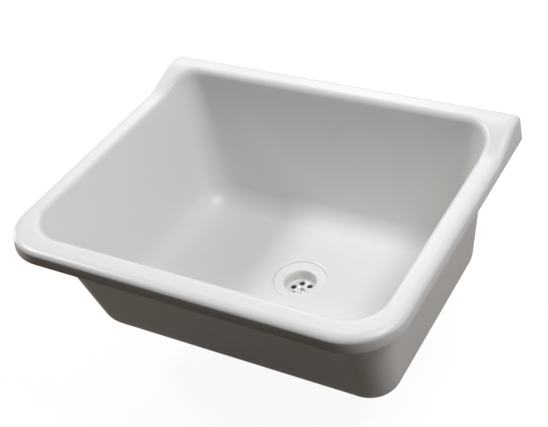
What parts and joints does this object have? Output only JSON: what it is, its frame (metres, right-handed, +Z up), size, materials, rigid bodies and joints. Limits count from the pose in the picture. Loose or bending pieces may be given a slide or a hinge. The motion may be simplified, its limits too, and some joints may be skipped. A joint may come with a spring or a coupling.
{
  "type": "utility laundry sink",
  "caption": "White moulded laundry sink: a deep bowl with a sloping front, a rounded rim with a raised back ledge, and a screw-clamped drain outlet below.",
  "frame": {"origin": "on the wall face at the back of the rim, midway along it, level with the flat top of the front and side rims", "axes": "+X to the user's right, +Y into the wall, +Z up"},
  "size_m": [0.5998, 0.4999, 0.3481],
  "materials": {
    "basin_white": "satin moulded white",
    "outlet_white": "smooth moulded white",
    "rubber_black": "matt black",
    "screw_steel": "bright",
    "insert_brass": "plain"
  },
  "bodies": {
    "sink": {"basin": "basin_white", "drain_flange": "outlet_white", "flange_gasket": "rubber_black", "under_gasket": "rubber_black", "waste_body": "outlet_white", "screw_insert": "insert_brass", "cone_washer": "rubber_black"},
    "centre_screw": {"centre_screw": "screw_steel"},
    "coupling_nut": {"coupling_nut": "outlet_white"}
  },
  "joints": [
    {"name": "screw_turn", "type": "hinge", "parent": "sink", "child": "centre_screw", "pos_m": [0, -0.185, -0.275], "axis": [0, 0, 1], "continuous": true},
    {"name": "nut_turn", "type": "hinge", "parent": "sink", "child": "coupling_nut", "pos_m": [0, -0.185, -0.314], "axis": [0, 0, 1], "continuous": true}
  ]
}
